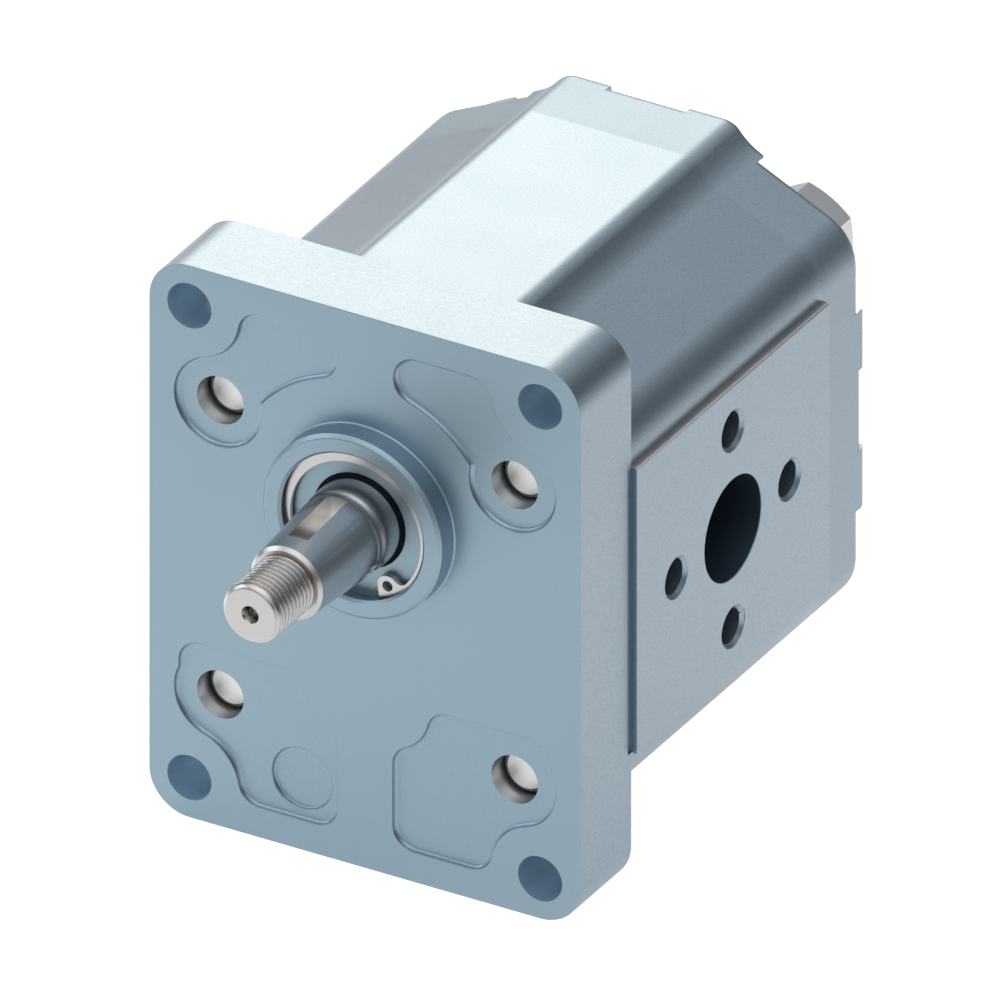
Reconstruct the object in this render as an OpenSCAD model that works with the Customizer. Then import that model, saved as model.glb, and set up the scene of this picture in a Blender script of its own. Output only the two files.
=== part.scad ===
// Flange mounted hydraulic gear pump with a tapered drive shaft.
// Frame: Z up, Y along the shafts, origin on the drive shaft's axis in the face
// of the mounting flange. The shaft points to -Y and the body lies behind, at +Y.

/* [Mounting flange] */
// Width of the flange across X
flange_w = 88; // [86:0.5:100]
// Height of the flange along Z
flange_h = 112.5; // [110:0.5:124]
// Thickness of the flange
flange_t = 18; // [16:0.5:24]
// Spacing of the mounting holes across X
mount_dx = 71.5; // [70:0.5:74]
// Spacing of the mounting holes along Z
mount_dz = 96.2; // [94:0.1:98]
// Height of the upper mounting holes over the shaft axis
mount_up = 32.5; // [31:0.1:34]
// Diameter of a mounting hole
mount_d = 9; // [8:0.1:10]
// Diameter of the pilot
pilot_d = 36.5; // [36:0.1:38]
// Length of the pilot in front of the flange
pilot_len = 5; // [4.6:0.1:7]
// Chamfer on the pilot's front edge
pilot_chamfer = 0.7; // [0.3:0.1:1]
// Depth of the cast pockets in the flange face
pocket_depth = 1; // [0.5:0.1:2]
// Radius at the outer corners of the cast pockets
pocket_r = 4.5; // [3:0.1:4.6]

/* [Gear housing] */
// Length of the gear housing
body_len = 68; // [64:0.5:76]
// Width of the housing across its plain sides
body_w = 86.9; // [84:0.1:88]
// Height of the housing
body_h = 101.2; // [99:0.1:104]
// Width of the flat on the top and bottom ridges
ridge_w = 29.9; // [26:0.1:32]
// Radius on the ridge's edge
ridge_r = 4.5; // [3:0.1:6]
// Steepest slope of the ridge's flank
ridge_slope = 51; // [45:1:56]
// Radius in the hollow beside the ridge
hollow_r = 12; // [10:0.5:14]
// Slope of the shoulders
shoulder_slope = 25.3; // [23:0.1:28]
// Radius between shoulder and side
side_r = 9.5; // [8:0.1:11]
// Height of the raised port pads
pad_h = 58; // [56:0.5:60]
// How far a port pad stands out from the side
pad_out = 1.65; // [0.6:0.05:3]

/* [Ports] */
// Diameter of the suction port
suction_d = 20; // [16:0.5:22]
// Bolt circle of the suction port
suction_pcd = 40; // [38:0.5:41]
// Tapping drill of the suction port's bolt holes
suction_tap_d = 6.8; // [5:0.1:7]
// Depth of the suction port's bolt holes
suction_tap_len = 14; // [10:0.5:15]
// Diameter of the delivery port
delivery_d = 15; // [12:0.5:18]
// Bolt circle of the delivery port
delivery_pcd = 35; // [33:0.5:38]
// Tapping drill of the delivery port's bolt holes
delivery_tap_d = 5; // [4:0.1:6]
// Depth of the delivery port's bolt holes
delivery_tap_len = 13; // [10:0.5:15]
// Depth of both ports before they narrow to the passage into the chamber
port_depth = 15; // [13:0.5:17]
// How much smaller the passage's radius is than its port's
throat_step = 1.5; // [1:0.1:2.5]

/* [Rear cover] */
// Thickness of the rear cover at its raised pads
cover_t = 16; // [14:0.5:20]
// Width of the crossed channels in the cover's back
channel_w = 16; // [10:0.5:18]
// Depth of the crossed channels
channel_depth = 1.3; // [0.6:0.1:2]
// Depth of the seats cut round the bolt heads
seat_depth = 2.4; // [1.5:0.1:4]
// Radius of the seats round the bolt heads
seat_r = 15.3; // [12:0.1:16]

/* [Gears] */
// Distance between the two gear axes
gear_dist = 31.2; // [31:0.1:31.8]
// Number of teeth on each gear
gear_teeth = 12; // [12:1:12]
// Cutting module of the teeth
gear_module = 2.4; // [2.38:0.01:2.42]
// Pressure angle of the cutter
gear_pressure = 20; // [20:0.1:20.5]
// Outside diameter of a gear
gear_tip_d = 35.8; // [35.5:0.1:35.9]
// Face width of the gears
gear_w = 24; // [16:0.5:30]
// Backlash between the gears, on the pitch circle
backlash = 0.2; // [0.16:0.01:0.3]
// Clearance between a tooth tip and the mating root
root_gap = 0.35; // [0.3:0.01:0.5]

/* [Shafts and bearings] */
// Diameter of the shaft journals
journal_d = 17.5; // [17:0.1:18]
// Wall of a bearing liner
liner_t = 1.5; // [1:0.1:2]
// Distance from the flange face to the shaft's end
shaft_out = 40.5; // [38:0.5:46]
// Length of the threaded stub with its undercut
stub_len = 12.4; // [10:0.1:14]
// Outside diameter of the stub's thread
stub_d = 12; // [10:0.1:12.5]
// Length of the undercut behind the thread
undercut_len = 2.2; // [1:0.1:3]
// Diameter of the undercut
undercut_d = 10.4; // [9:0.1:11]
// Small diameter of the 1 in 8 taper
taper_small_d = 14.66; // [14:0.01:15]
// Change of diameter over length on the taper
taper_rate = 0.125; // [0.1:0.005:0.14]
// Width of the Woodruff keyway
key_w = 4; // [3:0.1:5]
// Diameter of the Woodruff cutter
key_d = 16; // [13:0.5:17]
// Depth of the keyway below the taper's surface
key_depth = 5; // [4:0.1:5.5]
// Distance from the flange face to the keyway's middle
key_out = 16.7; // [15:0.1:18]

/* [Seals] */
// Outside diameter of the shaft seal
seal_d = 29; // [28:0.1:30]
// Length of the shaft seal
seal_len = 7; // [6:0.1:8]
// Depth of the seal's face below the pilot's face
seal_in = 3.1; // [3:0.1:3.6]
// Diameter of the opening in the seal's face
seal_mouth_d = 18.9; // [18.6:0.1:20]
// Wall of the seal's steel case
seal_wall = 1.2; // [0.8:0.1:1.6]
// Thickness of the retaining ring
ring_t = 1.2; // [1:0.05:1.5]
// Distance from the pilot's face to the retaining ring
ring_in = 1.3; // [1.1:0.05:1.4]
// Depth of the retaining ring's groove in the wall
groove_depth = 0.8; // [0.5:0.05:1]
// Width of the housing seals
body_seal_w = 2; // [1.5:0.1:2.4]
// Thickness of the housing seals
body_seal_t = 1.8; // [1.4:0.1:2.4]
// Width of the thrust seals
thrust_seal_w = 1.7; // [1.2:0.1:2]
// Width of the thrust seals' back-up rings
backup_w = 0.9; // [0.6:0.1:1.1]
// Thickness of the thrust seals and back-up rings
thrust_seal_t = 2.2; // [1.5:0.1:3]

/* [Fasteners] */
// Spacing of the tie bolts, both ways
bolt_grid = 60; // [59:0.1:61]
// Shank diameter of a tie bolt
bolt_d = 10; // [9.5:0.1:10]
// Diameter of a tie bolt's threaded end
bolt_end_d = 9.4; // [8.6:0.1:9.4]
// Width across flats of a bolt head
hex_af = 17; // [15:0.1:17]
// Height of a bolt head
hex_h = 6.4; // [5:0.1:8]
// Distance from the flange face to a bolt's tip
bolt_tip_in = 5; // [3:0.1:7]
// Diameter of a dowel pin
dowel_d = 6; // [4:0.1:6.5]
// Length of a dowel pin
dowel_len = 12; // [8:0.5:14]
// Spacing of the dowel pins across X
dowel_dx = 54; // [52:0.5:56]

/* [Clearances] */
// Radial clearance of gears, blocks and journals that run in a bore
run_gap = 0.05; // [0.02:0.01:0.08]
// Axial clearance beside the gears and behind the blocks
side_gap = 0.05; // [0.02:0.01:0.08]
// Clearance round seals, liners and dowels
fit_gap = 0.03; // [0.02:0.01:0.06]
// Radial clearance of the tie bolts in housing and cover
bolt_gap = 0.5; // [0.3:0.05:0.6]

/* [Hidden] */
$fn = 96;

// How far a cutting solid runs past the face that it opens
over = 1;

// Colours
casting = "#8fa5b3";
bright = "#c9c5c2";
steel = "#6f7d86";
bronze = "#b08d57";
rubber = "#15181b";
plastic = "#d8d2c0";

// Places along Y
body_y0 = flange_t;
body_y1 = body_y0 + body_len;
gear_y = (body_y0 + body_y1) / 2;
gear_y0 = gear_y - gear_w / 2;
gear_y1 = gear_y + gear_w / 2;
cover_y1 = body_y1 + cover_t;
seat_y = cover_y1 - seat_depth;

// Places along Z: the pump is symmetric about the line between the mounting holes
mid_z = mount_up - mount_dz / 2;
drive_z = 0;
driven_z = -gear_dist;
gear_mid_z = -gear_dist / 2;

// Half sizes of the flange and of the housing's outline
mount_x = mount_dx / 2;
bolt_x = bolt_grid / 2;
bolt_z = bolt_grid / 2;
pad_x = body_w / 2 + pad_out;

// Gear chamber and what runs in it
chamber_r = gear_tip_d / 2 + run_gap;
journal_r = journal_d / 2;
liner_in_r = journal_r + run_gap;
liner_out_r = liner_in_r + liner_t;
block_y0 = body_y0 + 2 * side_gap;
block_y1 = body_y1 - 2 * side_gap;

// Points on an arc about c from angle a0 to a1, no more than arc_step apart
arc_step = 5;
function arc(c, r, a0, a1) =
    let (n = ceil(abs(a1 - a0) / arc_step))
    [for (i = [0 : n]) let (a = a0 + (a1 - a0) * i / n) c + r * [cos(a), sin(a)]];
function heading(v) = atan2(v[1], v[0]);
function mirror_x(pts) = [for (p = pts) [-p[0], p[1]]];
function mirror_z(pts) = [for (p = pts) [p[0], -p[1]]];
function backwards(pts) = [for (i = [len(pts) - 1 : -1 : 0]) pts[i]];

// Extrudes a flat shape, drawn as X and Z, from y0 to y1
module along_y(y0, y1) {
    translate([0, y1, 0]) rotate([90, 0, 0]) linear_extrude(y1 - y0) children();
}

// Turns a profile of [radius, Y] points round the Y axis
module turned(profile) {
    rotate([-90, 0, 0]) rotate_extrude() polygon(profile);
}

// A round rod along Y
module rod(d, y0, y1) {
    translate([0, y0, 0]) rotate([-90, 0, 0]) cylinder(d = d, h = y1 - y0);
}

// Copies its children to the four tie bolts
module at_bolts() {
    for (sx = [-1, 1], sz = [-1, 1])
        translate([sx * bolt_x, 0, mid_z + sz * bolt_z]) children();
}

// Copies its children to the two dowel pins
module at_dowels() {
    for (sx = [-1, 1]) translate([sx * dowel_dx / 2, 0, mid_z]) children();
}

// Outline of housing and cover: a flat ridge, a hollow, a sloping shoulder and
// a rounded side, the same in all four quarters
ridge_c = [ridge_w / 2, body_h / 2 - ridge_r];
steep_n = [sin(ridge_slope), cos(ridge_slope)];
shoulder_n = [sin(shoulder_slope), cos(shoulder_slope)];
hollow_c = ridge_c + (ridge_r + hollow_r) * steep_n;
side_cx = body_w / 2 - side_r;
side_cz = (shoulder_n * hollow_c - hollow_r - side_r - shoulder_n[0] * side_cx) / shoulder_n[1];
quarter = concat(
    arc(ridge_c, ridge_r, 90, 90 - ridge_slope),
    arc(hollow_c, hollow_r, 270 - ridge_slope, 270 - shoulder_slope),
    arc([side_cx, side_cz], side_r, 90 - shoulder_slope, 0)
);

module body_outline() {
    right = concat(quarter, backwards(mirror_z(quarter)));
    translate([0, mid_z]) polygon(concat(right, backwards(mirror_x(right))));
}

// Outline with the same radius at the four corners, centred on the pump's middle
module rounded_rect(w, h, r) {
    translate([0, mid_z]) {
        square([w, h - 2 * r], center = true);
        square([w - 2 * r, h], center = true);
        for (sx = [-1, 1], sz = [-1, 1])
            translate([sx * (w / 2 - r), sz * (h / 2 - r)]) circle(r = r);
    }
}

// Figure of eight round both gear axes
module two_circles(r) {
    translate([0, drive_z]) circle(r = r);
    translate([0, driven_z]) circle(r = r);
}

// Racetrack round both gear axes
module racetrack(r) {
    two_circles(r);
    translate([-r, driven_z]) square([2 * r, gear_dist]);
}

// Groove or ring that follows the racetrack
module racetrack_ring(r_in, w) {
    difference() {
        racetrack(r_in + w);
        racetrack(r_in);
    }
}

// Two rings joined by a short bar, as a thrust seal lies
module joined_rings(r_in, w) {
    difference() {
        union() {
            two_circles(r_in + w);
            translate([-w, driven_z]) square([2 * w, gear_dist]);
        }
        two_circles(r_in);
    }
}

// Cast pockets of the flange face, drawn on the right about the pump's middle.
// Each goes round its tie bolt's ring and stays clear of the mounting hole's land
bolt_ring_r = 8.9;
pilot_land_r = 26.9;
bump_r = 9;
bump_c = [4, 21.4];
pocket_top = mount_up + 2.1 - mid_z;
pocket_low = 20.2;
pocket_in_x = 5.6;
pocket_out_x = bolt_x + 8;
hole_c = [mount_x, mount_up - mid_z];
bolt_c = [bolt_x, bolt_z];
pilot_c = [0, -mid_z];
hole_land_r = norm(hole_c - bolt_c) - bolt_ring_r;
corner_z = pocket_top - pocket_r;
band_r = pocket_r + 0.25;

// Place on the line z = corner_z where a corner touches a circle of radius r about c
function touching(c, r, z) = [c[0] + sqrt(pow(r + pocket_r, 2) - pow(z - c[1], 2)), z];

// The side that both pockets share: outer corner, sweep round the mounting hole and
// the bolt's ring up to the angle ring_end
corner_c = [2 * hole_c[0] - touching(hole_c, hole_land_r, corner_z)[0], corner_z];
function shared_side(ring_end) = concat(
    arc(corner_c, pocket_r, 90, heading(hole_c - corner_c)),
    arc(hole_c, hole_land_r, heading(hole_c - corner_c) + 180, heading(hole_c - bolt_c) + 180),
    arc(bolt_c, bolt_ring_r, heading(hole_c - bolt_c), ring_end)
);

// Upper pocket: its inner edge follows the land round the pilot
module upper_pocket() {
    reach = norm(bolt_c - pilot_c);
    way = heading(bolt_c - pilot_c);
    near = (pow(reach, 2) + pow(pilot_land_r, 2) - pow(bolt_ring_r, 2)) / (2 * reach);
    band_z = pocket_top - band_r;
    band_x = sqrt(pow(pilot_land_r + band_r, 2) - pow(band_z - pilot_c[1], 2));
    band_end = [band_x, band_z];
    band_way = heading(band_end - pilot_c);
    polygon(concat(
        arc(band_end, band_r, band_way + 180, 90),
        shared_side(way - 180 - acos((reach - near) / bolt_ring_r)),
        arc(pilot_c, pilot_land_r, way + acos(near / pilot_land_r), band_way)
    ));
}

// Lower pocket, drawn upside down: its inner edge goes round a bump
module lower_pocket() {
    inner_x = pocket_in_x + pocket_r;
    low_z = pocket_low + pocket_r;
    low_c = touching(bump_c, bump_r, low_z);
    step_c = [inner_x, touching([bump_c[1], bump_c[0]], bump_r, inner_x)[0]];
    polygon(concat(
        arc([inner_x, corner_z], pocket_r, 180, 90),
        shared_side(-acos((pocket_out_x - bolt_x) / bolt_ring_r)),
        arc([pocket_out_x - pocket_r, low_z], pocket_r, 0, -90),
        arc(low_c, pocket_r, -90, heading(low_c - bump_c) - 180),
        arc(bump_c, bump_r, heading(low_c - bump_c), heading(step_c - bump_c)),
        arc(step_c, pocket_r, heading(step_c - bump_c) + 180, 180)
    ));
}

// Round recess in the left lower pocket
recess_c = [-13.4, -58];
recess_r = 6.1;
recess_depth = 0.8;

module flange_pockets() {
    for (sx = [0, 1]) translate([0, 0, mid_z]) mirror([sx, 0, 0]) {
        along_y(-over, pocket_depth) upper_pocket();
        mirror([0, 0, 1]) along_y(-over, pocket_depth) lower_pocket();
    }
    translate([recess_c[0], 0, recess_c[1]]) rod(2 * recess_r, 0, pocket_depth + recess_depth);
}

// Shaft seal bore with the mouth chamfer and the retaining ring's groove
mouth_chamfer = 0.5;
ring_y0 = -pilot_len + ring_in;
groove_y0 = ring_y0 - fit_gap;
groove_y1 = ring_y0 + ring_t + fit_gap;
groove_r = seal_d / 2 + groove_depth;
seal_y0 = -pilot_len + seal_in;
seal_y1 = seal_y0 + seal_len;

module seal_bore() {
    r = seal_d / 2;
    turned([
        [0, -pilot_len - over], [r + mouth_chamfer + over, -pilot_len - over],
        [r, -pilot_len + mouth_chamfer], [r, groove_y0], [groove_r, groove_y0],
        [groove_r, groove_y1], [r, groove_y1], [r, seal_y1 + fit_gap], [0, seal_y1 + fit_gap]
    ]);
}

// Grooves and holes that flange and cover have where they meet the housing
body_seal_r = chamber_r + 1.4;
groove_w = body_seal_w + 2 * fit_gap;
groove_t = body_seal_t + fit_gap;
dowel_hole_d = dowel_d + 2 * fit_gap;
dowel_hole_len = dowel_len / 2 + fit_gap;
bolt_hole_d = bolt_d + 2 * bolt_gap;
bolt_end_hole_d = bolt_end_d + 4 * fit_gap;

// The flange's rear corners are milled level with the housing's plain sides,
// over the height of the port pads
relief_len = 1.3;

module front_flange() {
    corner = flange_w / 2 - mount_x;
    pilot_r = pilot_d / 2;
    shaft_hole_d = journal_d + 2.6;
    color(casting) difference() {
        union() {
            along_y(0, flange_t) rounded_rect(flange_w, flange_h, corner);
            turned([
                [0, over], [0, -pilot_len], [pilot_r - pilot_chamfer, -pilot_len],
                [pilot_r, -pilot_len + pilot_chamfer], [pilot_r, over]
            ]);
        }
        flange_pockets();
        seal_bore();
        rod(shaft_hole_d, seal_y1, flange_t + over);
        for (sx = [-1, 1], z = [mount_up, mount_up - mount_dz])
            translate([sx * mount_x, 0, z]) rod(mount_d, -over, flange_t + over);
        at_bolts() rod(bolt_end_hole_d, 0, flange_t + over);
        along_y(flange_t - groove_t, flange_t + over) racetrack_ring(body_seal_r, groove_w);
        at_dowels() rod(dowel_hole_d, flange_t - dowel_hole_len, flange_t + over);
        for (sx = [-1, 1])
            translate([sx * (body_w / 2 + over), flange_t - relief_len / 2 + over / 2, mid_z])
                cube([2 * over, relief_len + over, pad_h], center = true);
    }
}

// One port towards +X: a drilled mouth that narrows to the passage into the chamber,
// and four blind bolt holes round it
module port_cut(d, pcd, tap_d, tap_len) {
    reach = pad_x - sqrt(pow(chamber_r, 2) - pow(gear_dist / 2, 2)) / 2;
    throat_r = d / 2 - throat_step;
    translate([pad_x, gear_y, gear_mid_z]) rotate([0, 90, 0]) {
        rotate_extrude() polygon([
            [0, -reach], [throat_r, -reach], [throat_r, -port_depth - throat_step / 2],
            [d / 2, -port_depth], [d / 2, over], [0, over]
        ]);
        for (a = [0 : 90 : 270]) rotate([0, 0, a]) translate([pcd / 2, 0, 0]) rotate_extrude()
            polygon([
                [0, -tap_len - tap_d / 4], [tap_d / 2, -tap_len], [tap_d / 2, over], [0, over]
            ]);
    }
}

module gear_housing() {
    color(casting) difference() {
        union() {
            along_y(body_y0, body_y1) body_outline();
            translate([-pad_x, body_y0, mid_z - pad_h / 2]) cube([2 * pad_x, body_len, pad_h]);
        }
        along_y(body_y0 - over, body_y1 + over) two_circles(chamber_r);
        port_cut(suction_d, suction_pcd, suction_tap_d, suction_tap_len);
        mirror([1, 0, 0]) port_cut(delivery_d, delivery_pcd, delivery_tap_d, delivery_tap_len);
        at_bolts() rod(bolt_hole_d, body_y0 - over, body_y1 + over);
        at_dowels() {
            rod(dowel_hole_d, body_y0 - over, body_y0 + dowel_hole_len);
            rod(dowel_hole_d, body_y1 - dowel_hole_len, body_y1 + over);
        }
    }
}

// The cover is a plate up to the bolt seats with its back raised on it
module rear_cover() {
    channel_y = cover_y1 - channel_depth;
    color(casting) difference() {
        union() {
            along_y(body_y1, seat_y) body_outline();
            along_y(seat_y - over, cover_y1) body_outline();
        }
        translate([-channel_w / 2, channel_y, mid_z - body_h])
            cube([channel_w, channel_depth + over, 2 * body_h]);
        translate([-body_w, channel_y, mid_z - channel_w / 2])
            cube([2 * body_w, channel_depth + over, channel_w]);
        at_bolts() {
            rod(2 * seat_r, seat_y, cover_y1 + over);
            rod(bolt_hole_d, body_y1 - over, cover_y1);
        }
        along_y(body_y1 - over, body_y1 + groove_t) racetrack_ring(body_seal_r, groove_w);
        at_dowels() rod(dowel_hole_d, body_y1 - over, body_y1 + dowel_hole_len);
    }
}

// Involute gear teeth, cut with gear_module and run at the wider centre distance.
// Angles are in degrees, and an involute's angle is inv(a) = tan(a) - a
function inv(a) = tan(a) * 180 / PI - a;
base_r = gear_module * gear_teeth * cos(gear_pressure) / 2;
pitch_r = gear_dist / 2;
work_angle = acos(base_r / pitch_r);
tip_r = gear_tip_d / 2;
root_r = gear_dist - tip_r - root_gap;
half_tooth = (180 * pitch_r / gear_teeth - backlash * 90 / PI) / (2 * pitch_r);
flank_steps = 8;
flank_top = tip_r + 0.2;
flank_foot = base_r + 0.15;

// Half the angle that a tooth spans at radius r
function tooth_half(r) = half_tooth + inv(work_angle) - inv(acos(base_r / r));
function at_angle(r, a) = [r * cos(a), r * sin(a)];
function flank(side) = [
    for (i = [0 : flank_steps])
        let (r = flank_foot + (flank_top - flank_foot) * i / flank_steps)
            at_angle(r, side * tooth_half(r))
];

// One tooth that points along +X, with its foot inside the root circle
module tooth_outline() {
    foot = tooth_half(flank_foot) + 1;
    polygon(concat(
        [[0, 0], at_angle(root_r - 0.3, -foot)], flank(-1),
        backwards(flank(1)), [at_angle(root_r - 0.3, foot)]
    ));
}

module gear(turn) {
    intersection() {
        union() {
            circle(r = root_r);
            for (i = [0 : gear_teeth - 1])
                rotate(turn + i * 360 / gear_teeth) tooth_outline();
        }
        circle(r = tip_r);
    }
}

// Drive shaft in front of the gear: stub, undercut, collar face, taper and journal
stub_chamfer = 1;
collar_chamfer = 0.64;
centre_d = 3.5;
centre_drill_d = 2;
shaft_y0 = -shaft_out;
collar_y = shaft_y0 + stub_len;
taper_y0 = collar_y + collar_chamfer;
taper_small_r = taper_small_d / 2;
taper_y1 = taper_y0 + (journal_r - taper_small_r) / (taper_rate / 2);
centre_cone = (centre_d - centre_drill_d) / 2 / tan(30);

module drive_gear_shaft() {
    keyway_r = taper_small_r + (-key_out - taper_y0) * taper_rate / 2;
    shaft_end = block_y1 - 10 * side_gap;
    color(bright) difference() {
        union() {
            turned([
                [0, shaft_y0], [stub_d / 2 - stub_chamfer, shaft_y0],
                [stub_d / 2, shaft_y0 + stub_chamfer], [stub_d / 2, collar_y - undercut_len],
                [undercut_d / 2, collar_y - undercut_len + (stub_d - undercut_d) / 2],
                [undercut_d / 2, collar_y], [taper_small_r - collar_chamfer, collar_y],
                [taper_small_r, taper_y0], [journal_r, taper_y1],
                [journal_r, shaft_end - stub_chamfer], [journal_r - stub_chamfer, shaft_end],
                [0, shaft_end]
            ]);
            along_y(gear_y0, gear_y1) gear(0);
        }
        turned([
            [0, shaft_y0 - over], [centre_d / 2 + over * tan(30), shaft_y0 - over],
            [centre_drill_d / 2, shaft_y0 + centre_cone],
            [centre_drill_d / 2, shaft_y0 + 2 * centre_cone], [0, shaft_y0 + 2.5 * centre_cone]
        ]);
        translate([-key_w / 2, -key_out, keyway_r - key_depth + key_d / 2])
            rotate([0, 90, 0]) cylinder(d = key_d, h = key_w);
    }
}

module driven_gear_shaft() {
    y0 = block_y0 + 10 * side_gap;
    y1 = block_y1 - 10 * side_gap;
    color(bright) translate([0, 0, driven_z]) {
        turned([
            [0, y0], [journal_r - stub_chamfer, y0], [journal_r, y0 + stub_chamfer],
            [journal_r, y1 - stub_chamfer], [journal_r - stub_chamfer, y1], [0, y1]
        ]);
        along_y(gear_y0, gear_y1) gear(180 / gear_teeth);
    }
}

// Bearing blocks: y_gear is the face beside the gears, y_back the face with the seal groove
relief_w = 4.5;
relief_h = 7;
relief_depth = 2;
thrust_in_r = liner_out_r + 0.8;
thrust_w = thrust_seal_w + backup_w;

module bushing_block(y_gear, y_back) {
    low = min(y_gear, y_back);
    high = max(y_gear, y_back);
    inwards = sign(y_back - y_gear);
    waist = sqrt(pow(chamber_r - run_gap, 2) - pow(gear_dist / 2, 2));
    color(bronze) difference() {
        along_y(low, high) two_circles(chamber_r - run_gap);
        along_y(low - over, high + over) two_circles(liner_out_r + fit_gap);
        along_y(y_back - thrust_seal_t - fit_gap, y_back + thrust_seal_t + fit_gap)
            joined_rings(thrust_in_r, thrust_w + 2 * fit_gap);
        for (sx = [-1, 1])
            translate([sx * (waist - relief_w / 2 + over / 2), y_gear, gear_mid_z])
                cube([relief_w + over, 2 * relief_depth, relief_h], center = true);
    }
}

module bearing_liner(y0, y1) {
    color(steel) turned([
        [liner_in_r, y0], [liner_out_r, y0], [liner_out_r, y1], [liner_in_r, y1]
    ]);
}

module body_seal(y0) {
    color(rubber) along_y(y0, y0 + body_seal_t)
        racetrack_ring(body_seal_r + fit_gap, body_seal_w);
}

// The back-up ring lies inside the thrust seal, in the same groove
module thrust_backup(y0) {
    color(plastic) along_y(y0, y0 + thrust_seal_t) difference() {
        two_circles(thrust_in_r + fit_gap + backup_w);
        two_circles(thrust_in_r + fit_gap);
    }
}

module thrust_seal(y0) {
    color(rubber) along_y(y0, y0 + thrust_seal_t)
        joined_rings(thrust_in_r + 2 * fit_gap + backup_w, thrust_seal_w - 2 * fit_gap);
}

// Shaft seal: a steel case, a rubber lip moulded to it and a garter spring
seal_in_r = seal_mouth_d / 2;
lip_r = journal_r + run_gap;
spring_d = 1.4;
spring_r = lip_r + 1.5 + spring_d / 2;
spring_y = seal_y0 + seal_len * 0.62;

module shaft_seal_case() {
    r = seal_d / 2 - fit_gap;
    color(casting) turned([
        [seal_in_r, seal_y0], [r, seal_y0], [r, seal_y1], [r - seal_wall, seal_y1],
        [r - seal_wall, seal_y0 + seal_wall], [seal_in_r, seal_y0 + seal_wall]
    ]);
}

module shaft_seal_lip() {
    back = seal_y0 + seal_wall + fit_gap;
    tip = spring_y + spring_d / 2 + 0.5;
    color(rubber) difference() {
        turned([
            [seal_in_r - fit_gap, seal_y0], [lip_r, seal_y0 - 0.9], [lip_r + 0.6, back],
            [lip_r, spring_y], [lip_r + 0.5, tip], [spring_r + 0.3, tip],
            [spring_r, spring_y], [lip_r + 1.9, back + 1.2], [seal_in_r + 1.5, back + 1],
            [seal_in_r + 1.5, back], [seal_in_r - fit_gap, back]
        ]);
        rotate([-90, 0, 0]) rotate_extrude() translate([spring_r, spring_y])
            circle(d = spring_d + 2 * fit_gap);
    }
}

module shaft_seal_spring() {
    color(bright) rotate([-90, 0, 0]) rotate_extrude() translate([spring_r, spring_y])
        circle(d = spring_d);
}

// Retaining ring: widest at the top, with two pierced lugs beside the gap below.
// Lugs and ends are placed by their angle from the middle of the gap
ring_inset = 1.25;
ring_shift = 0.95;
ring_end_angle = 19;
lug_angle = 31.4;
lug_inset = 1.85;
lug_r = 2.1;
lug_hole_d = 2;
lug_fillet = 1.5;

module retaining_ring() {
    r_out = groove_r - fit_gap;
    r_in = seal_d / 2 - ring_inset;
    ring_c = [0, -ring_shift];
    lug_c = (seal_d / 2 - lug_inset) * [sin(lug_angle), -cos(lug_angle)];
    reach = norm(lug_c - ring_c);
    near = r_in - lug_fillet;
    far = lug_r + lug_fillet;
    way = heading(lug_c - ring_c)
        + acos((pow(reach, 2) + pow(near, 2) - pow(far, 2)) / (2 * reach * near));
    fillet_c = ring_c + near * [cos(way), sin(way)];
    lug_side = concat(
        arc(fillet_c, lug_fillet, way, heading(lug_c - fillet_c)),
        arc(lug_c, lug_r, heading(fillet_c - lug_c), 180)
    );
    color(bright) along_y(ring_y0, ring_y0 + ring_t) difference() {
        polygon(concat(
            arc([0, 0], r_out, ring_end_angle - 90, 270 - ring_end_angle),
            backwards(mirror_x(lug_side)),
            arc(ring_c, r_in, 180 - way, way),
            lug_side
        ));
        for (sx = [-1, 1]) translate([sx * lug_c[0], lug_c[1]]) circle(d = lug_hole_d);
    }
}

// Tie bolt: hexagon head on the cover, shank, and a threaded end screwed into the flange
tip_round = 0.9;
hex_corner_r = hex_af / sqrt(3);
hex_face_r = hex_af * 0.475;

module tie_bolt() {
    head_y = seat_y + hex_h;
    end_r = bolt_end_d / 2;
    shank_r = bolt_d / 2;
    color(bright) {
        turned([
            [0, bolt_tip_in], [end_r - tip_round, bolt_tip_in],
            [end_r - tip_round * 0.3, bolt_tip_in + tip_round * 0.3],
            [end_r, bolt_tip_in + tip_round], [end_r, body_y0], [shank_r, body_y0 + over],
            [shank_r, seat_y + over], [0, seat_y + over]
        ]);
        intersection() {
            translate([0, head_y, 0]) rotate([90, 30, 0])
                cylinder(r = hex_corner_r, h = hex_h, $fn = 6);
            turned([
                [0, seat_y - over], [hex_corner_r + over, seat_y - over],
                [hex_corner_r + over, head_y - (hex_corner_r + over - hex_face_r) * tan(30)],
                [hex_face_r, head_y], [0, head_y]
            ]);
        }
    }
}

module tie_bolts() {
    at_bolts() tie_bolt();
}

module dowels(y) {
    chamfer = dowel_d / 12;
    color(bright) at_dowels() turned([
        [0, y - dowel_len / 2], [dowel_d / 2 - chamfer, y - dowel_len / 2],
        [dowel_d / 2, y - dowel_len / 2 + chamfer], [dowel_d / 2, y + dowel_len / 2 - chamfer],
        [dowel_d / 2 - chamfer, y + dowel_len / 2], [0, y + dowel_len / 2]
    ]);
}

front_gear_face = gear_y0 - side_gap;
rear_gear_face = gear_y1 + side_gap;

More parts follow.
